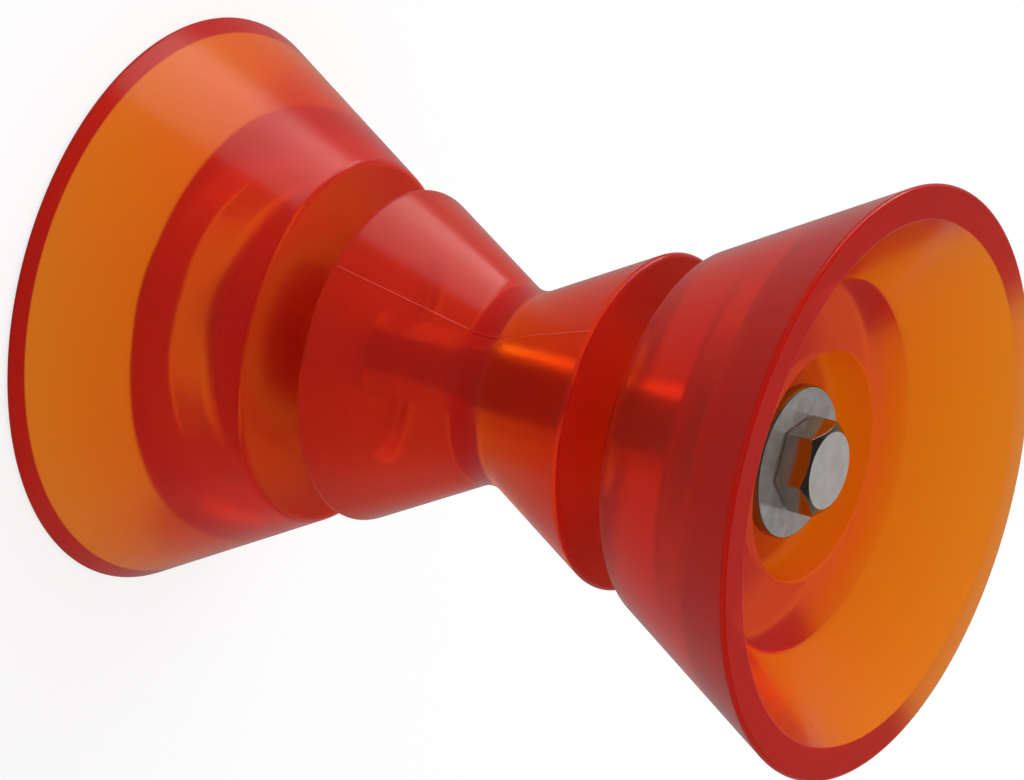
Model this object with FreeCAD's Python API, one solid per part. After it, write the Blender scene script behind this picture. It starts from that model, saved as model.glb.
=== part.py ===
import FreeCAD, Part
import math
import os

from FreeCAD import Vector

# Bow roller for a boat trailer: an hourglass spool and two flared bells, moulded in
# clear amber rubbery plastic, turn freely on one long half-inch bolt.
# The roller stands on the rim of the bell at the nut end. Its axis is Z, the origin is the
# centre of that rim, and Z runs up to the rim of the bell at the head end. Millimetres.

# Half-inch bolt
shaft_diameter = 12.7
thread_protrusion = 2.8
bolt_tip_chamfer = 1.2
head_across_flats = 19.05
head_height = 7.94
head_face_diameter = 17.6
head_bearing_height = 0.4
neck_radius = 0.8

# Flat washers under the head and under the nut
washer_diameter = 34.9
washer_hole = 14.3
washer_thickness = 2.8
washer_edge_chamfer = 0.4

# Lock nut with a plastic ring held in a rolled collar
nut_across_flats = 19.05
nut_height = 15.1
nut_hex_height = 11.2
nut_collar_diameter = 17.9
nut_collar_radius = 1.6
nut_mouth_diameter = 14.4
nut_chamfer_face = 17.8
insert_diameter = 15.9
insert_height = 3.0
insert_lip = 0.9
thread_clearance = 0.05

# Bells
bell_rim_diameter = 135.0
bell_cone_angle = 28.2
bell_length = 47.5
bell_rim_width = 7.7
bell_rim_edge = 0.9
bell_narrow_edge = 2.5
cup_depth = 17.5
cup_floor_diameter = 84.8
cup_floor_fillet = 2.0
recess_diameter = 52.4
recess_depth = 10.8
recess_draft = 0.6
recess_edge = 0.8
recess_fillet = 3.0
bell_boss_diameter = 32.0
bell_boss_height = 3.0

# Spool
spool_width = 70.2
spool_rim_diameter = 78.0
spool_rim_edge = 1.2
spool_cone_angle = 27.7
spool_waist_blend = 12.5
spool_boss_diameter = 32.0
spool_boss_height = 3.0

# Bosses and bores of the bells and the spool
boss_root_fillet = 0.8
boss_chamfer = 0.6
bore_chamfer = 0.5

# Fits
bore_clearance = 0.08
end_play = 3.8
ear_gap = 6.7

# Places along the axis, worked out from the sizes above
cup_bottom = cup_depth + recess_depth
bell_face = bell_length + bell_boss_height
spool_bottom = bell_face + ear_gap
spool_half = spool_width / 2
spool_middle = spool_bottom + spool_boss_height + spool_half
overall_length = 2 * spool_middle
nut_washer_top = cup_bottom - end_play
nut_top = nut_washer_top - washer_thickness
nut_bottom = nut_top - nut_height
head_washer_bottom = overall_length - cup_bottom + end_play
head_bottom = head_washer_bottom + washer_thickness
bolt_tip = nut_bottom - thread_protrusion
bore_radius = shaft_diameter / 2 + bore_clearance
shaft_radius = shaft_diameter / 2


def rounded_outline(corners):
    """A closed wire in the XZ plane through corners of (radius, height, rounding)."""
    count = len(corners)
    starts = []
    arcs = []
    for i, (radius, height, rounding) in enumerate(corners):
        here = Vector(radius, 0, height)
        back = Vector(corners[i - 1][0], 0, corners[i - 1][1]) - here
        ahead = Vector(corners[(i + 1) % count][0], 0, corners[(i + 1) % count][1]) - here
        back.normalize()
        ahead.normalize()
        if rounding == 0:
            starts.append((here, here))
            arcs.append(None)
            continue
        half_angle = back.getAngle(ahead) / 2
        reach = rounding / math.tan(half_angle)
        inward = back + ahead
        inward.normalize()
        middle = here + inward * (rounding / math.sin(half_angle) - rounding)
        first = here + back * reach
        last = here + ahead * reach
        starts.append((first, last))
        arcs.append(Part.Arc(first, middle, last).toShape())
    edges = []
    for i in range(count):
        if arcs[i]:
            edges.append(arcs[i])
        leave = starts[i][1]
        arrive = starts[(i + 1) % count][0]
        if leave.distanceToPoint(arrive) > 1e-6:
            edges.append(Part.LineSegment(leave, arrive).toShape())
    return Part.Wire(edges)


def corner_radius(rim_radius, cone_angle, rounding):
    """The radius of the sharp corner of a cone and a flat end whose rounded rim has rim_radius."""
    half_angle = math.radians(90 - cone_angle) / 2
    return rim_radius + rounding * (1 / math.tan(half_angle) - 1)


def turned(corners):
    """A solid of revolution about Z."""
    face = Part.Face(rounded_outline(corners))
    return face.revolve(Vector(0, 0, 0), Vector(0, 0, 1), 360)


def hexagon(across_flats, bottom, height):
    """A hexagonal prism about Z with a corner on the X axis."""
    point_radius = across_flats / math.sqrt(3)
    points = []
    for i in range(7):
        angle = math.radians(60 * i)
        points.append(Vector(point_radius * math.cos(angle), point_radius * math.sin(angle), bottom))
    return Part.Face(Part.makePolygon(points)).extrude(Vector(0, 0, height))


def hex_chamfer(across_flats, face_diameter, face_height, side):
    """The turned blank that cuts the 30 degree corners off a hexagon.

    side is 1 where the chamfered face looks up and -1 where it looks down."""
    wide = across_flats / math.sqrt(3) + 1
    drop = (wide - face_diameter / 2) * math.tan(math.radians(30))
    depth = 3 * across_flats
    return turned([
        (0, face_height, 0),
        (face_diameter / 2, face_height, 0),
        (wide, face_height - side * drop, 0),
        (wide, face_height - side * depth, 0),
        (0, face_height - side * depth, 0),
    ])


def boss(root_height, boss_radius, boss_height):
    """The corners of a boss, from its root on an end face to its chamfered edge in the bore."""
    top = root_height + boss_height
    return [
        (boss_radius, root_height, boss_root_fillet),
        (boss_radius, top - boss_chamfer, 0),
        (boss_radius - boss_chamfer, top, 0),
        (bore_radius + bore_chamfer, top, 0),
        (bore_radius, top - bore_chamfer, 0),
    ]


def bell(rim_height, direction):
    """A flared bell: a cored cup with a deeper recess for the bolt's end, and a boss on its narrow face.

    Its heights run from the rim plane, up or down the axis by direction."""
    rim_radius = bell_rim_diameter / 2
    rim_corner = corner_radius(rim_radius, bell_cone_angle, bell_rim_edge)
    narrow_corner = rim_corner - bell_length * math.tan(math.radians(bell_cone_angle))
    outside = [
        (rim_corner, 0, bell_rim_edge),
        (narrow_corner, bell_length, bell_narrow_edge),
    ]
    inside = [
        (bore_radius, cup_bottom + bore_chamfer, 0),
        (bore_radius + bore_chamfer, cup_bottom, 0),
        (recess_diameter / 2 - recess_draft, cup_bottom, recess_fillet),
        (recess_diameter / 2, cup_depth, recess_edge),
        (cup_floor_diameter / 2, cup_depth, cup_floor_fillet),
        (rim_radius - bell_rim_width, 0, bell_rim_edge),
    ]
    outline = outside + boss(bell_length, bell_boss_diameter / 2, bell_boss_height) + inside
    return turned([(radius, rim_height + direction * height, rounding) for radius, height, rounding in outline])


def spool():
    """The hourglass spool: two straight cones, blended at the waist, with a boss at each end."""
    rim_corner = corner_radius(spool_rim_diameter / 2, spool_cone_angle, spool_rim_edge)
    waist_corner = rim_corner - spool_half * math.tan(math.radians(spool_cone_angle))
    rim = (rim_corner, spool_half, spool_rim_edge)
    upper = [rim] + boss(spool_half, spool_boss_diameter / 2, spool_boss_height)
    lower = [(radius, -height, rounding) for radius, height, rounding in reversed(upper)]
    waist = (waist_corner, 0, spool_waist_blend)
    outline = [waist] + upper + lower
    return turned([(radius, spool_middle + height, rounding) for radius, height, rounding in outline])


def washer(bottom):
    """A flat washer with its outer edges broken."""
    top = bottom + washer_thickness
    outer_radius = washer_diameter / 2
    return turned([
        (washer_hole / 2, bottom, 0),
        (outer_radius - washer_edge_chamfer, bottom, 0),
        (outer_radius, bottom + washer_edge_chamfer, 0),
        (outer_radius, top - washer_edge_chamfer, 0),
        (outer_radius - washer_edge_chamfer, top, 0),
        (washer_hole / 2, top, 0),
    ])


def bolt():
    """The hex head bolt: chamfered head, bearing face, neck radius, shank and chamfered tip."""
    head_top = head_bottom + head_height
    bearing_radius = head_face_diameter / 2
    head = hexagon(head_across_flats, head_bottom + head_bearing_height, head_height - head_bearing_height)
    head = head.common(hex_chamfer(head_across_flats, head_face_diameter, head_top, 1))
    shank = turned([
        (0, bolt_tip, 0),
        (shaft_radius - bolt_tip_chamfer, bolt_tip, 0),
        (shaft_radius, bolt_tip + bolt_tip_chamfer, 0),
        (shaft_radius, head_bottom, neck_radius),
        (bearing_radius, head_bottom, 0),
        (bearing_radius, head_bottom + head_bearing_height, 0),
        (0, head_bottom + head_bearing_height, 0),
    ])
    return head.fuse(shank).removeSplitter().Solids[0]


def lock_nut():
    """The lock nut: a chamfered hexagon, and a rolled collar with a groove and a mouth for the ring."""
    bore = shaft_radius + thread_clearance
    hex_bottom = nut_top - nut_hex_height
    collar_radius = nut_collar_diameter / 2
    body = hexagon(nut_across_flats, hex_bottom, nut_hex_height)
    body = body.common(hex_chamfer(nut_across_flats, nut_chamfer_face, nut_top, 1))
    body = body.common(hex_chamfer(nut_across_flats, nut_collar_diameter, hex_bottom, -1))
    collar = turned([
        (bore, nut_bottom, 0),
        (collar_radius, nut_bottom, nut_collar_radius),
        (collar_radius, nut_top - 1, 0),
        (bore, nut_top - 1, 0),
    ])
    hole = Part.makeCylinder(bore, nut_height + 2, Vector(0, 0, nut_bottom - 1))
    groove_bottom = nut_bottom + insert_lip
    groove = Part.makeCylinder(insert_diameter / 2, insert_height, Vector(0, 0, groove_bottom))
    mouth = Part.makeCylinder(nut_mouth_diameter / 2, insert_lip + 1, Vector(0, 0, nut_bottom - 1))
    return body.fuse(collar).cut(hole).cut(groove).cut(mouth).removeSplitter().Solids[0]


def nut_insert():
    """The plastic ring that grips the thread, seated in the nut's groove."""
    bottom = nut_bottom + insert_lip
    return turned([
        (shaft_radius + thread_clearance, bottom, 0),
        (insert_diameter / 2, bottom, 0),
        (insert_diameter / 2, bottom + insert_height, 0),
        (shaft_radius + thread_clearance, bottom + insert_height, 0),
    ])


parts = {
    "spool_roller": spool(),
    "nut_end_bell": bell(0, 1),
    "head_end_bell": bell(overall_length, -1),
    "hex_bolt": bolt(),
    "head_washer": washer(head_washer_bottom),
    "nut_washer": washer(nut_top),
    "lock_nut": lock_nut(),
    "nut_insert": nut_insert(),
}

os.makedirs("parts", exist_ok=True)
for name, shape in parts.items():
    shape.exportStep("parts/" + name + ".step")
    box = shape.BoundBox
    print("%-14s %s valid %s volume %.0f mm3, z %.2f to %.2f, radius %.2f" % (
        name, shape.ShapeType, shape.isValid(), shape.Volume, box.ZMin, box.ZMax, box.XMax))
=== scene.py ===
import math

import bmesh
import bpy
from mathutils import Matrix, Vector

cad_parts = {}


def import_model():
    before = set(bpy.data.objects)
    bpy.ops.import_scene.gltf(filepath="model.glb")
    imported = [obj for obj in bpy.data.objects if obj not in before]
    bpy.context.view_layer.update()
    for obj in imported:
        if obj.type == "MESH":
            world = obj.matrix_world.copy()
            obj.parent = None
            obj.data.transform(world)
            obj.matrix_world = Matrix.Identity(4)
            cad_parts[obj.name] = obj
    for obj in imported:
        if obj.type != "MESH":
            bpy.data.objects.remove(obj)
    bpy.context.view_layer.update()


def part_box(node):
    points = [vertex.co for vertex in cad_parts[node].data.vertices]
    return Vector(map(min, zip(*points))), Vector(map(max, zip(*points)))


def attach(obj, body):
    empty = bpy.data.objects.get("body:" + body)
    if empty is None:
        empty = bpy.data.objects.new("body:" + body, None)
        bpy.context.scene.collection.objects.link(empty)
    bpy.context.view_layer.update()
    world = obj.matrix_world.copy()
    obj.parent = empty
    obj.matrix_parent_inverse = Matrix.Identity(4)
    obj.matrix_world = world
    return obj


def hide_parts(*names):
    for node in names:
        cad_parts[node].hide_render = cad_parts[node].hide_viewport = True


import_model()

# Lengths in metres, heights up the axis from the rim that the roller stands on
MM = 0.001
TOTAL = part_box("head_end_bell")[1].z
BORE_RADIUS = 6.43 * MM

# Bell, with heights from its rim plane
BELL_RIM_RADIUS = 67.5 * MM
BELL_CONE_ANGLE = math.radians(28.2)
BELL_LENGTH = 47.5 * MM
BELL_RIM_WIDTH = 7.7 * MM
BELL_RIM_EDGE = 0.9 * MM
BELL_NARROW_EDGE = 2.5 * MM
CUP_DEPTH = 17.5 * MM
CUP_FLOOR_RADIUS = 42.4 * MM
CUP_FLOOR_FILLET = 2.0 * MM
RECESS_RADIUS = 26.2 * MM
RECESS_DEPTH = 10.8 * MM
RECESS_DRAFT = 0.6 * MM
RECESS_FILLET = 3.0 * MM
RECESS_EDGE = 0.8 * MM
BOSS_RADIUS = 16.0 * MM
BOSS_HEIGHT = 3.0 * MM

# Spool, with heights from its middle
SPOOL_HALF = 35.1 * MM
SPOOL_RIM_RADIUS = 39.0 * MM
SPOOL_RIM_EDGE = 1.2 * MM
SPOOL_CONE_ANGLE = math.radians(27.7)
SPOOL_WAIST_BLEND = 12.5 * MM

# The ridge that the mould's parting line leaves on both sides of the spool, where its surface looks
# outward by a least share and lies outside the bosses
PARTING_ANGLE = math.radians(246)
PARTING_RIDGE = 0.12 * MM
PARTING_WIDTH = 0.5 * MM
PARTING_LEAST_SHARE = 0.1
PARTING_LEAST_RADIUS = BOSS_RADIUS + MM

# Small roundings of the bosses and bores
BOSS_ROOT_FILLET = 0.8 * MM
BOSS_EDGE = 0.6 * MM
BORE_EDGE = 0.5 * MM

# Half-inch bolt
SHANK_RADIUS = 6.35 * MM
SHANK_BELOW_HEAD = 0.05 * MM
THREAD_PITCH = 25.4 / 13 * MM
THREAD_DEPTH = 1.15 * MM
THREAD_LENGTH = 38 * MM
THREAD_RUNOUT = 2 * THREAD_PITCH
THREAD_PROFILE = (0, 0, 0.5, 1, 1, 1, 0.5, 0, 0, 0)
HEX_RADIUS = 19.05 / math.sqrt(3) * MM
HEX_CUT_ANGLE = math.radians(30)
HEAD_FACE_RADIUS = 8.8 * MM
HEAD_EDGE = 0.12 * MM
BEARING_HEIGHT = 0.4 * MM

# Washers
WASHER_RADIUS = 17.45 * MM
WASHER_HOLE_RADIUS = 7.15 * MM
WASHER_OUTER_EDGE = 0.5 * MM
WASHER_HOLE_EDGE = 0.3 * MM

# Lock nut and the plastic ring in its groove
NUT_HEX_HEIGHT = 11.2 * MM
NUT_SEAT_RADIUS = 8.9 * MM
NUT_EDGE = 0.1 * MM
NUT_BORE_RADIUS = SHANK_RADIUS + 0.05 * MM
COLLAR_RADIUS = 8.95 * MM
COLLAR_EDGE = 1.6 * MM
MOUTH_RADIUS = 7.2 * MM
GROOVE_CLEARANCE = 0.02 * MM
RING_EDGE = 0.3 * MM

# How finely round shapes are divided
ARC_STEP = math.radians(7)
LEAST_ARC_STEPS = 4
COLLAR_STEPS = 8
MOULDING_COLUMNS = 256
WASHER_COLUMNS = 128
RING_COLUMNS = 96
THREAD_COLUMNS = 96
RIDGE_COLUMNS = 17
RIDGE_REACH = math.radians(1.8)
HEX_ANGLES = [math.radians(2.5 * i) for i in range(144)]

# Edges sharper than these stay sharp in shading, or are rounded as metal
SHARP_ANGLE = math.radians(25)
SOFTENED_ANGLE = math.radians(20)

# Points closer than these are one: where a mesh is welded, and along an outline
SAME_SPOT = 0.001 * MM
NO_LENGTH = 1e-9

# The photograph is 1024 by 780 pixels. The rest places the roller in it and gives the viewing angle,
# with the sensor's width in millimetres
PHOTO_WIDTH, PHOTO_HEIGHT = 1024, 780
OBJECT_CENTRE_PX = (519.9, 388.3)
RIM_RADIUS_PX = 296.35
CAMERA_DISTANCE = 19.84 * BELL_RIM_RADIUS
CAMERA_ELEVATION = math.radians(29.84)
AXIS_SLOPE = math.radians(14.9)
SENSOR = 36.0

WHITE = (1, 1, 1, 1)


def corner_radius(rim_radius, cone_angle, rounding):
    """The radius of the sharp corner of a cone and a flat end whose rounded rim has rim_radius."""
    half_angle = (math.pi / 2 - cone_angle) / 2
    return rim_radius + rounding * (1 / math.tan(half_angle) - 1)


def rounded_outline(corners):
    """Points (radius, height) and outward normals of a closed outline.

    Each corner is (radius, height, rounding). Rounded corners become arcs."""
    points, normals = [], []
    count = len(corners)
    area = sum(
        corners[i - 1][0] * corners[i][1] - corners[i][0] * corners[i - 1][1] for i in range(count)
    )
    turn = 1 if area > 0 else -1
    for i, (radius, height, rounding) in enumerate(corners):
        here = Vector((radius, height))
        back = (Vector(corners[i - 1][:2]) - here).normalized()
        ahead = (Vector(corners[(i + 1) % count][:2]) - here).normalized()
        normal_in = Vector((-back.y, back.x)) * turn
        normal_out = Vector((ahead.y, -ahead.x)) * turn
        if rounding == 0:
            points += [here, here]
            normals += [normal_in, normal_out]
            continue
        bend = math.atan2(
            normal_in.x * normal_out.y - normal_in.y * normal_out.x, normal_in.dot(normal_out))
        reach = rounding * math.tan(abs(bend) / 2)
        side = 1 if bend * turn > 0 else -1
        centre = here + back * reach - normal_in * rounding * side
        steps = max(LEAST_ARC_STEPS, round(abs(bend) / ARC_STEP))
        for step in range(steps + 1):
            normal = Matrix.Rotation(bend * step / steps, 2) @ normal_in
            points.append(centre + normal * rounding * side)
            normals.append(normal)
    return points, normals


def mesh_piece(name, vertices, faces, vertex_normals=None):
    """An object of a mesh that is smooth where normals are given, and sharp at its edges otherwise."""
    mesh = bpy.data.meshes.new(name)
    mesh.from_pydata(vertices, [], faces)
    mesh.update()
    for polygon in mesh.polygons:
        polygon.use_smooth = True
    if vertex_normals:
        facing = sum(
            face.normal.dot(Vector(vertex_normals[face.vertices[0]])) for face in mesh.polygons)
        if facing < 0:
            mesh.flip_normals()
        mesh.normals_split_custom_set_from_vertices(vertex_normals)
    else:
        mesh.set_sharp_from_angle(angle=SHARP_ANGLE)
    piece = bpy.data.objects.new(name, mesh)
    bpy.context.scene.collection.objects.link(piece)
    return piece


def weld(piece):
    """Joins the vertices that share a spot, and drops the faces that this leaves without an area."""
    mesh = bmesh.new()
    mesh.from_mesh(piece.data)
    bmesh.ops.remove_doubles(mesh, verts=mesh.verts, dist=SAME_SPOT)
    mesh.to_mesh(piece.data)
    mesh.free()
    piece.data.set_sharp_from_angle(angle=SHARP_ANGLE)


def angle_from(line, angle):
    """How far an angle lies past a line, between half a turn back and half a turn ahead."""
    return (angle - line + math.pi) % (2 * math.pi) - math.pi


def ring_angles(columns, lines):
    """Angles round the axis, with close ones beside each parting line."""
    middle = RIDGE_COLUMNS // 2
    angles = [2 * math.pi * i / columns for i in range(columns)]
    for line in lines:
        angles = [angle for angle in angles if abs(angle_from(line, angle)) > RIDGE_REACH]
        angles += [line + RIDGE_REACH * (i - middle) / (middle + 0.5) for i in range(RIDGE_COLUMNS)]
    return sorted(angle % (2 * math.pi) for angle in angles)


def turned(name, corners, columns=MOULDING_COLUMNS, lines=()):
    """A mesh turned about Z, with a fine moulding ridge along the angles in lines."""
    points, normals = rounded_outline(corners)
    angles = ring_angles(columns, lines)
    vertices, vertex_normals, faces = [], [], []
    for angle in angles:
        away = min((angle_from(line, angle) for line in lines), key=abs, default=math.pi)
        across = Vector((-math.sin(angle), math.cos(angle), 0))
        for point, normal in zip(points, normals):
            place = away * point.x / PARTING_WIDTH
            outside = normal.x > PARTING_LEAST_SHARE and point.x > PARTING_LEAST_RADIUS
            rises = outside and abs(place) < 1
            rise = PARTING_RIDGE * (1 - place ** 2) ** 2 if rises else 0
            slope = -4 * PARTING_RIDGE / PARTING_WIDTH * place * (1 - place ** 2) if rises else 0
            outward = Vector((normal.x * math.cos(angle), normal.x * math.sin(angle), normal.y))
            spot = Vector((point.x * math.cos(angle), point.x * math.sin(angle), point.y))
            vertices.append(spot + outward * rise)
            vertex_normals.append((outward - across * slope).normalized())
    rows = len(points)
    for i in range(len(angles)):
        first, second = i * rows, ((i + 1) % len(angles)) * rows
        for j in range(rows):
            k = (j + 1) % rows
            if (points[j] - points[k]).length > NO_LENGTH:
                faces.append((first + j, second + j, second + k, first + k))
    return mesh_piece(name, vertices, faces, vertex_normals)


def bell(name, rim_height, direction):
    """A flared bell with its rim plane at a height. Direction is 1 where the bell goes up from it
    and -1 where it goes down."""
    rim_corner = corner_radius(BELL_RIM_RADIUS, BELL_CONE_ANGLE, BELL_RIM_EDGE)
    narrow_corner = rim_corner - BELL_LENGTH * math.tan(BELL_CONE_ANGLE)
    face = BELL_LENGTH + BOSS_HEIGHT
    bottom = CUP_DEPTH + RECESS_DEPTH
    outline = [
        (rim_corner, 0, BELL_RIM_EDGE),
        (narrow_corner, BELL_LENGTH, BELL_NARROW_EDGE),
        (BOSS_RADIUS, BELL_LENGTH, BOSS_ROOT_FILLET),
        (BOSS_RADIUS, face, BOSS_EDGE),
        (BORE_RADIUS, face, BORE_EDGE),
        (BORE_RADIUS, bottom, BORE_EDGE),
        (RECESS_RADIUS - RECESS_DRAFT, bottom, RECESS_FILLET),
        (RECESS_RADIUS, CUP_DEPTH, RECESS_EDGE),
        (CUP_FLOOR_RADIUS, CUP_DEPTH, CUP_FLOOR_FILLET),
        (BELL_RIM_RADIUS - BELL_RIM_WIDTH, 0, BELL_RIM_EDGE),
    ]
    return turned(name, [(r, rim_height + direction * h, e) for r, h, e in outline])


def spool(name):
    """Two cones that are blended at the waist, with a boss at each end."""
    rim_corner = corner_radius(SPOOL_RIM_RADIUS, SPOOL_CONE_ANGLE, SPOOL_RIM_EDGE)
    waist_corner = rim_corner - SPOOL_HALF * math.tan(SPOOL_CONE_ANGLE)
    end = SPOOL_HALF + BOSS_HEIGHT
    upper = [
        (rim_corner, SPOOL_HALF, SPOOL_RIM_EDGE),
        (BOSS_RADIUS, SPOOL_HALF, BOSS_ROOT_FILLET),
        (BOSS_RADIUS, end, BOSS_EDGE),
        (BORE_RADIUS, end, BORE_EDGE),
    ]
    lower = [(r, -h, e) for r, h, e in reversed(upper)]
    outline = [(waist_corner, 0, SPOOL_WAIST_BLEND)] + upper + lower
    return turned(name, [(r, TOTAL / 2 + h, e) for r, h, e in outline],
                  lines=(PARTING_ANGLE, PARTING_ANGLE - math.pi))


def washer(name, node):
    low, high = (corner.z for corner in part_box(node))
    return turned(name, [
        (WASHER_HOLE_RADIUS, low, WASHER_HOLE_EDGE),
        (WASHER_RADIUS, low, WASHER_OUTER_EDGE),
        (WASHER_RADIUS, high, WASHER_OUTER_EDGE),
        (WASHER_HOLE_RADIUS, high, WASHER_HOLE_EDGE),
    ], WASHER_COLUMNS)


def hex_radius(angle):
    """How far a hexagon with a corner on X reaches at an angle."""
    turn = angle % (math.pi / 3) - math.pi / 6
    return HEX_RADIUS * math.cos(math.pi / 6) / math.cos(turn)


def ring(radius, height):
    """Vertices round the axis, with a radius and a height for each angle."""
    return [(radius(a) * math.cos(a), radius(a) * math.sin(a), height(a)) for a in HEX_ANGLES]


def circle(radius, height):
    return ring(lambda angle: radius, lambda angle: height)


def hex_rings(low, high, low_face, high_face):
    """Rings of vertices up a hexagon whose corners are cut at a slant below and above.

    low_face and high_face are the radii of its round end faces. A face as wide as the corners is uncut."""
    slope = math.tan(HEX_CUT_ANGLE)
    return [
        circle(low_face, low),
        ring(hex_radius, lambda angle: low + max(0, hex_radius(angle) - low_face) * slope),
        ring(hex_radius, lambda angle: high - max(0, hex_radius(angle) - high_face) * slope),
        circle(high_face, high),
    ]


def joined(name, rings, closed=False):
    """A mesh between rings of equally many vertices, capped at both ends, or closed end to end."""
    count = len(rings[0])
    vertices = [vertex for row in rings for vertex in row]
    faces = []
    for row in range(len(rings) if closed else len(rings) - 1):
        above = (row + 1) % len(rings)
        for i in range(count):
            j = (i + 1) % count
            faces.append((row * count + i, row * count + j, above * count + j, above * count + i))
    if not closed:
        faces.append(tuple(reversed(range(count))))
        faces.append(tuple(range(len(vertices) - count, len(vertices))))
    return mesh_piece(name, vertices, faces)


def soften(piece, width):
    """Rounds the sharp edges of a metal piece, as plating and wear do."""
    edge = piece.modifiers.new("edges", "BEVEL")
    edge.width = width
    edge.segments = 2
    edge.limit_method = "ANGLE"
    edge.angle_limit = SOFTENED_ANGLE
    edge.harden_normals = True


def bolt_head(name):
    """The hex head on its round bearing face. Its hexagon is cut only at the top."""
    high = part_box("hex_bolt")[1].z
    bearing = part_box("head_washer")[1].z
    low = bearing + BEARING_HEIGHT
    rings = [circle(HEAD_FACE_RADIUS, bearing), circle(HEAD_FACE_RADIUS, low)]
    rings += hex_rings(low, high, HEX_RADIUS, HEAD_FACE_RADIUS)[1:]
    piece = joined(name, rings)
    soften(piece, HEAD_EDGE)
    return piece


def bolt_shank(name):
    """The shank, with a rolled helical thread at its end."""
    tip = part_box("hex_bolt")[0].z
    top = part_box("head_washer")[1].z - SHANK_BELOW_HEAD
    per_turn = len(THREAD_PROFILE)
    last = int(THREAD_LENGTH / THREAD_PITCH) * per_turn
    vertices, faces = [(0, 0, tip)], []
    for i in range(THREAD_COLUMNS):
        angle = 2 * math.pi * i / THREAD_COLUMNS
        for j in range(last + 1):
            height = tip + (j / per_turn - 1 + i / THREAD_COLUMNS) * THREAD_PITCH
            runout = (tip + THREAD_LENGTH - THREAD_RUNOUT - height) / THREAD_PITCH
            cut = THREAD_DEPTH * THREAD_PROFILE[j % per_turn] * min(1, max(0, runout))
            height = max(height, tip) if j < last else top
            radius = min(SHANK_RADIUS - cut, SHANK_RADIUS - THREAD_DEPTH + height - tip)
            vertices.append((radius * math.cos(angle), radius * math.sin(angle), height))
    for i in range(THREAD_COLUMNS):
        after = (i + 1) % THREAD_COLUMNS
        ahead = 0 if after else per_turn
        here, there = 1 + i * (last + 1), 1 + after * (last + 1)
        faces.append((0, there, here))
        for j in range(last):
            near, far = there + min(j + ahead, last), there + min(j + 1 + ahead, last)
            corners = (here + j, near, far, here + j + 1)
            if max(vertices[corner][2] for corner in corners) > tip:
                faces.append(tuple(dict.fromkeys(corners)))
    faces.append(tuple((i + 1) * (last + 1) for i in range(THREAD_COLUMNS)))
    piece = mesh_piece(name, vertices, faces)
    weld(piece)
    return piece


def lock_nut(name):
    """A hexagon chamfered at both ends, with a rolled collar that holds the plastic ring."""
    low, high = (corner.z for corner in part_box("lock_nut"))
    ring_low, ring_high = (corner.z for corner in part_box("nut_insert"))
    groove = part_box("nut_insert")[1].x + GROOVE_CLEARANCE
    rings = hex_rings(high - NUT_HEX_HEIGHT, high, COLLAR_RADIUS, NUT_SEAT_RADIUS)[::-1]
    for step in range(COLLAR_STEPS + 1):
        angle = math.pi / 2 * step / COLLAR_STEPS
        radius = COLLAR_RADIUS - COLLAR_EDGE * (1 - math.cos(angle))
        rings.append(circle(radius, low + COLLAR_EDGE * (1 - math.sin(angle))))
    rings += [
        circle(MOUTH_RADIUS, low),
        circle(MOUTH_RADIUS, ring_low),
        circle(groove, ring_low),
        circle(groove, ring_high),
        circle(NUT_BORE_RADIUS, ring_high),
        circle(NUT_BORE_RADIUS, high),
    ]
    piece = joined(name, rings[::-1], closed=True)
    soften(piece, NUT_EDGE)
    return piece


def plastic_ring(name):
    low, high = (corner.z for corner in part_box("nut_insert"))
    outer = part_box("nut_insert")[1].x
    return turned(name, [
        (NUT_BORE_RADIUS, low, RING_EDGE),
        (outer, low, 0),
        (outer, high, 0),
        (NUT_BORE_RADIUS, high, 0),
    ], RING_COLUMNS)


def add(tree, kind, sockets=None, **settings):
    """A shader node with its settings, and its sockets set to values or linked to other sockets."""
    node = tree.nodes.new("ShaderNode" + kind)
    for name, value in settings.items():
        setattr(node, name, value)
    for name, value in (sockets or {}).items():
        if isinstance(value, bpy.types.NodeSocket):
            tree.links.new(value, node.inputs[name])
        else:
            node.inputs[name].default_value = value
    return node


def ramp(tree, value, low=0.0, high=1.0, at_low=0.0, at_high=1.0):
    """A value that runs from at_low to at_high as another runs from low to high."""
    node = add(tree, "MapRange", {
        "Value": value, "From Min": low, "From Max": high, "To Min": at_low, "To Max": at_high})
    return node.outputs["Result"]


def maths(tree, operation, *values):
    return add(tree, "Math", dict(enumerate(values)), operation=operation).outputs["Value"]


def noise(tree, place, scale, detail):
    """Soft noise with a scale of so many spots to the metre."""
    return add(tree, "TexNoise", {"Vector": place, "Scale": scale, "Detail": detail}).outputs["Fac"]


def bumps(tree, layers):
    """The normal after bumps of (height, strength, depth) have been laid over one another."""
    sockets = {}
    for height, strength, depth in layers:
        node = add(tree, "Bump", {**sockets, "Height": height, "Strength": strength, "Distance": depth})
        sockets = {"Normal": node.outputs["Normal"]}
    return sockets["Normal"]


def end_faces(tree, low, high):
    """One on faces that look along the axis, and zero on those that look across it. It runs
    between the two as the axis's share of the normal runs from low to high."""
    normal = add(tree, "TexCoord").outputs["Normal"]
    along = add(tree, "SeparateXYZ", {"Vector": normal}).outputs["Z"]
    return ramp(tree, maths(tree, "ABSOLUTE", along), low, high)


def pick(tree, share, first, second):
    """The first colour where the share is zero, and the second where it is one."""
    node = add(tree, "Mix", {"Factor": share, "A": first, "B": second}, data_type="RGBA")
    return node.outputs["Result"]


def empty_material(name):
    material = bpy.data.materials.new(name)
    material.use_nodes = True
    material.node_tree.nodes.remove(material.node_tree.nodes["Principled BSDF"])
    return material, material.node_tree, material.node_tree.nodes["Material Output"]


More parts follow.
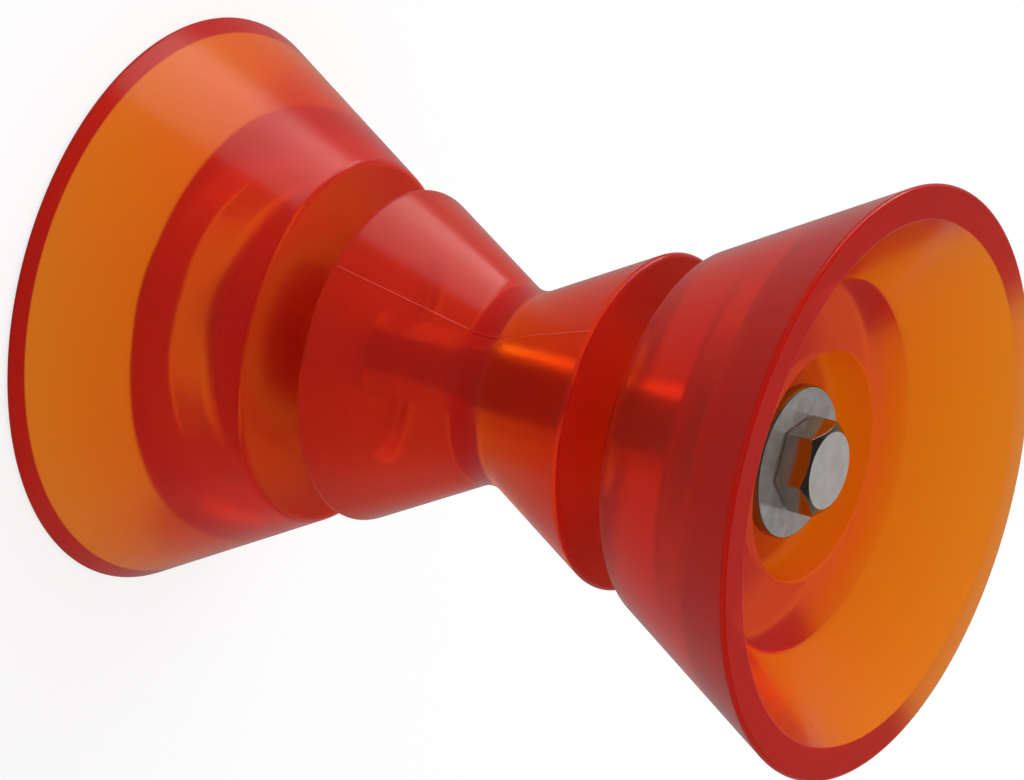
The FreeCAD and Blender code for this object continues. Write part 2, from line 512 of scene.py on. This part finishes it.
# How the plastic takes light: the share that its haze turns back, and what each metre of depth
# takes off red, green and blue
HAZE = 0.39
HAZE_COLOUR = (0.8, 0.024, 0.013, 1)
CLEAR_COLOUR = (0.955, 0.567, 0.13, 1)
TAKEN_PER_METRE = (2.5, 37.0, 290.0)
SHINE = (0.15, 0.15, 0.15, 1)
LEAST_ROUGHNESS, MOST_ROUGHNESS = 0.15, 0.22
DULLNESS = 0.3
RUBBED_SHARES = (0.8, 0.95)

# The plastic's surface: broad waves, a fine skin and rare pits, as spots to the metre and depths
WAVE_SCALE, WAVE_DEPTH = 70.0, 0.07 * MM
SKIN_SCALE, SKIN_DEPTH = 700.0, 0.006 * MM
PIT_SCALE, PIT_DEPTH = 55.0, 0.12 * MM
PIT_FLOOR, PIT_RIM = 0.012, 0.03


def dull_faces(tree):
    """One where the plastic is dull, and zero elsewhere. It is rubbed on the flat end faces beside the
    bracket's ears, and the mould leaves it dull in the bells' recesses."""
    place = add(tree, "TexCoord").outputs["Object"]
    height = add(tree, "SeparateXYZ", {"Vector": place}).outputs["Z"]
    across = add(tree, "VectorMath", {0: place, 1: (1, 1, 0)}, operation="MULTIPLY").outputs["Vector"]
    radius = add(tree, "VectorMath", {0: across}, operation="LENGTH").outputs["Value"]
    from_middle = maths(tree, "ABSOLUTE", maths(tree, "SUBTRACT", height, TOTAL / 2))
    ear_face = TOTAL / 2 - BELL_LENGTH
    beside_ear = ramp(tree, from_middle, ear_face + MM, ear_face + 2 * MM, 1.0, 0.0)
    recess_floor = TOTAL / 2 - CUP_DEPTH - RECESS_DEPTH
    past_floor = ramp(tree, from_middle, recess_floor - MM, recess_floor - 0.5 * MM)
    inside_wall = ramp(tree, radius, RECESS_RADIUS, RECESS_RADIUS + MM, 1.0, 0.0)
    rubbed = maths(tree, "MULTIPLY", beside_ear, end_faces(tree, *RUBBED_SHARES))
    recess = maths(tree, "MULTIPLY", past_floor, inside_wall)
    return maths(tree, "MAXIMUM", rubbed, recess)


def amber_plastic():
    """Clear red-amber moulded plastic with a slight haze. Most of its colour comes from its depth."""
    material, tree, output = empty_material("clear_amber")
    place = add(tree, "TexCoord").outputs["Object"]
    waves = noise(tree, place, WAVE_SCALE, 2.0)
    skin = noise(tree, place, SKIN_SCALE, 3.0)
    cells = add(tree, "TexVoronoi", {"Vector": place, "Scale": PIT_SCALE}).outputs["Distance"]
    pits = ramp(tree, cells, PIT_FLOOR, PIT_RIM)
    rough = ramp(tree, waves, at_low=LEAST_ROUGHNESS, at_high=MOST_ROUGHNESS)
    surface = {
        "Roughness": maths(tree, "MULTIPLY_ADD", dull_faces(tree), DULLNESS, rough),
        "IOR": 1.5,
        "Specular IOR Level": 0.1,
        "Normal": bumps(tree, [
            (waves, 1.0, WAVE_DEPTH), (skin, 0.6, SKIN_DEPTH), (pits, 0.8, PIT_DEPTH)]),
    }
    clear = add(tree, "BsdfPrincipled", {
        **surface, "Base Color": CLEAR_COLOUR, "Transmission Weight": 1.0, "Specular Tint": SHINE})
    haze = add(tree, "BsdfPrincipled", {
        **surface, "Base Color": HAZE_COLOUR, "Specular Tint": WHITE})
    mix = add(tree, "MixShader", {"Fac": HAZE, 1: clear.outputs["BSDF"], 2: haze.outputs["BSDF"]})
    tree.links.new(mix.outputs["Shader"], output.inputs["Surface"])
    density = max(TAKEN_PER_METRE)
    colour = (*(1 - taken / density for taken in TAKEN_PER_METRE), 1)
    depth = add(tree, "VolumeAbsorption", {"Color": colour, "Density": density})
    tree.links.new(depth.outputs["Volume"], output.inputs["Volume"])
    return material


# The steel's clouds and grain, as spots to the metre and a depth, and the gloss of its sides
CLOUD_SCALE = 260.0
CLOUD_DARK, CLOUD_PALE = 0.35, 0.65
CLOUD_ROUGHNESS = 0.08
SIDE_ROUGHNESS = 0.08
GRAIN_DEPTH = 0.01 * MM
STEEL_END_SHARES = (0.9, 0.97)


def steel(name, pale, dark, shaded_side_colour, end_metal, end_roughness, grain):
    """Plated or stamped steel with a fine grain: cloudy, pale and dull on its flat ends, smoother on its
    sides and chamfers, whose colour is darkened there as painted shade and painted dark reflection."""
    material, tree, output = empty_material(name)
    place = add(tree, "TexCoord").outputs["Object"]
    clouds = noise(tree, place, CLOUD_SCALE, 5.0)
    is_end = end_faces(tree, *STEEL_END_SHARES)
    shade = add(tree, "ValToRGB", {"Fac": clouds})
    stops = shade.color_ramp.elements
    stops[0].position, stops[0].color = CLOUD_DARK, dark
    stops[1].position, stops[1].color = CLOUD_PALE, pale
    rough = ramp(tree, is_end, at_low=SIDE_ROUGHNESS, at_high=end_roughness)
    # The sides and chamfers get a darker colour than the flat ends: painted shade and painted dark
    # reflection, not a difference in the plating
    shader = add(tree, "BsdfPrincipled", {
        "Base Color": pick(tree, is_end, shaded_side_colour, shade.outputs["Color"]),
        "Metallic": ramp(tree, is_end, at_low=1.0, at_high=end_metal),
        "Roughness": maths(tree, "MULTIPLY_ADD", clouds, CLOUD_ROUGHNESS, rough),
        "Normal": bumps(tree, [(noise(tree, place, grain, 4.0), 0.35, GRAIN_DEPTH)])})
    tree.links.new(shader.outputs["BSDF"], output.inputs["Surface"])
    return material


INSERT_COLOUR = (0.75, 0.73, 0.66, 1)
INSERT_ROUGHNESS = 0.45
INSERT_GRAIN, INSERT_GRAIN_DEPTH = 900.0, 0.02 * MM


def milky_plastic():
    """The lock nut's ring."""
    material, tree, output = empty_material("milky_plastic")
    place = add(tree, "TexCoord").outputs["Object"]
    grain = noise(tree, place, INSERT_GRAIN, 3.0)
    shader = add(tree, "BsdfPrincipled", {
        "Base Color": INSERT_COLOUR, "Roughness": INSERT_ROUGHNESS,
        "Normal": bumps(tree, [(grain, 0.4, INSERT_GRAIN_DEPTH)])})
    tree.links.new(shader.outputs["BSDF"], output.inputs["Surface"])
    return material


def dress(piece, slot, body, node):
    """Gives a piece its material, has it ride on a body and lets it stand in for a node."""
    piece.data.materials.append(MATERIALS[slot])
    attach(piece, body)
    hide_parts(node)


# Each steel's side colour is darker than its ends as painted shade and painted dark reflection
MATERIALS = {
    "amber_plastic": amber_plastic(),
    "plated_steel": steel(
        "zinc_plate", pale=(0.93, 0.92, 0.88, 1), dark=(0.8, 0.8, 0.76, 1), shaded_side_colour=(0.33, 0.3, 0.27, 1),
        end_metal=0.66, end_roughness=0.3, grain=1500.0),
    "washer_steel": steel(
        "stamped_plate", pale=(0.86, 0.84, 0.81, 1), dark=(0.68, 0.66, 0.63, 1),
        shaded_side_colour=(0.26, 0.24, 0.22, 1), end_metal=0.76, end_roughness=0.1, grain=900.0),
    "insert_plastic": milky_plastic(),
}
dress(spool("spool_moulding"), "amber_plastic", "spool", "spool_roller")
dress(bell("nut_end_bell_moulding", 0, 1), "amber_plastic", "nut_bell", "nut_end_bell")
dress(bell("head_end_bell_moulding", TOTAL, -1), "amber_plastic", "head_bell", "head_end_bell")
dress(bolt_head("bolt_head"), "plated_steel", "axle", "hex_bolt")
dress(bolt_shank("bolt_shank"), "plated_steel", "axle", "hex_bolt")
dress(washer("head_washer_plate", "head_washer"), "washer_steel", "axle", "head_washer")
dress(washer("nut_washer_plate", "nut_washer"), "washer_steel", "axle", "nut_washer")
dress(lock_nut("lock_nut_forging"), "plated_steel", "axle", "lock_nut")
dress(plastic_ring("nut_plastic_ring"), "insert_plastic", "axle", "nut_insert")

# The floor lies a hair below the rim, so that light leaves the rim through air. Its glow makes it
# white to the camera and through the plastic, and lights what mirrors it a little.
FLOOR_HEIGHT = -0.3 * MM
FLOOR_HALF = 6.0
FLOOR_COLOUR = (0.3, 0.3, 0.3, 1)
FLOOR_GLOW = {"Is Camera Ray": 0.74, "Is Transmission Ray": 0.74, "Is Glossy Ray": 0.1}

# The room's light on dull surfaces from the horizon to straight overhead, and what glossy ones
# mirror, as (height, brightness)
ROOM_LOW, ROOM_HIGH = 1.07, 0.6
ROOM_STOPS = ((0.05, 0.6), (0.3, 0.22), (0.62, 0.2), (0.8, 0.05))

# One large soft lamp, on the side that is up in the photograph
KEY_DIRECTION = (-0.97, 0.15, 0.2)
KEY_DISTANCE = 1.2
KEY_SIZE = (1.2, 0.7)
KEY_POWER = 10.2


def camera():
    """Looks down at the standing roller, rolled so that its axis runs across the picture."""
    data = bpy.data.cameras.new("photo_camera")
    holder = bpy.data.objects.new("photo_camera", data)
    bpy.context.scene.collection.objects.link(holder)
    back = Vector((0, -math.cos(CAMERA_ELEVATION), math.sin(CAMERA_ELEVATION)))
    axis_seen = Vector((0, math.sin(CAMERA_ELEVATION), math.cos(CAMERA_ELEVATION)))
    across = Vector((-1, 0, 0))
    right = math.cos(AXIS_SLOPE) * axis_seen + math.sin(AXIS_SLOPE) * across
    up = back.cross(right)
    focal_px = RIM_RADIUS_PX * CAMERA_DISTANCE / BELL_RIM_RADIUS
    data.sensor_width = SENSOR
    data.lens = focal_px * SENSOR / PHOTO_WIDTH
    data.shift_x = -(OBJECT_CENTRE_PX[0] - PHOTO_WIDTH / 2) / PHOTO_WIDTH
    data.shift_y = (OBJECT_CENTRE_PX[1] - PHOTO_HEIGHT / 2) / PHOTO_WIDTH
    data.clip_start, data.clip_end = 0.05, 50
    stand = Matrix.Translation(Vector((0, 0, TOTAL / 2)) + back * CAMERA_DISTANCE)
    holder.matrix_world = stand @ Matrix((right, up, back)).transposed().to_4x4()
    bpy.context.scene.camera = holder


def key_lamp():
    data = bpy.data.lights.new("key", "AREA")
    data.shape = "RECTANGLE"
    data.size, data.size_y = KEY_SIZE
    data.energy = KEY_POWER
    holder = bpy.data.objects.new("key", data)
    bpy.context.scene.collection.objects.link(holder)
    direction = Vector(KEY_DIRECTION).normalized()
    holder.location = Vector((0, 0, TOTAL / 2)) + direction * KEY_DISTANCE
    holder.rotation_mode = "QUATERNION"
    holder.rotation_quaternion = direction.to_track_quat("Z", "Y")


def floor():
    corners = [(-1, -1), (1, -1), (1, 1), (-1, 1)]
    vertices = [(x * FLOOR_HALF, y * FLOOR_HALF, FLOOR_HEIGHT) for x, y in corners]
    piece = mesh_piece("floor", vertices, [(0, 1, 2, 3)])
    material, tree, output = empty_material("floor_paint")
    rays = add(tree, "LightPath").outputs
    glow = 0.0
    for ray, strength in FLOOR_GLOW.items():
        glow = maths(tree, "MULTIPLY_ADD", rays[ray], strength, glow)
    paint = add(tree, "BsdfPrincipled", {
        "Base Color": FLOOR_COLOUR, "Roughness": 1.0, "Specular IOR Level": 0.0,
        "Emission Color": WHITE, "Emission Strength": glow})
    tree.links.new(paint.outputs["BSDF"], output.inputs["Surface"])
    piece.data.materials.append(material)


def world():
    """A room that is white to the camera and through the plastic. What glossy surfaces mirror of it
    is pale at the horizon, grey above it and dark straight overhead."""
    room = bpy.data.worlds.new("room")
    bpy.context.scene.world = room
    room.use_nodes = True
    tree = room.node_tree
    direction = add(tree, "TexCoord").outputs["Generated"]
    height = add(tree, "SeparateXYZ", {"Vector": direction}).outputs["Z"]
    mirrored = add(tree, "ValToRGB", {"Fac": height})
    stops = mirrored.color_ramp.elements
    for stop, (position, level) in zip(stops, (ROOM_STOPS[0], ROOM_STOPS[-1])):
        stop.position, stop.color = position, (level, level, level, 1)
    for position, level in ROOM_STOPS[1:-1]:
        stops.new(position).color = (level, level, level, 1)
    soft = ramp(tree, height, at_low=ROOM_LOW, at_high=ROOM_HIGH)
    rays = add(tree, "LightPath").outputs
    unseen = pick(tree, rays["Is Diffuse Ray"], mirrored.outputs["Color"], soft)
    is_seen = maths(tree, "MAXIMUM", rays["Is Camera Ray"], rays["Is Transmission Ray"])
    tree.links.new(pick(tree, is_seen, unseen, WHITE), tree.nodes["Background"].inputs["Color"])


camera()
key_lamp()
floor()
world()
bpy.context.scene.view_settings.view_transform = "Standard"
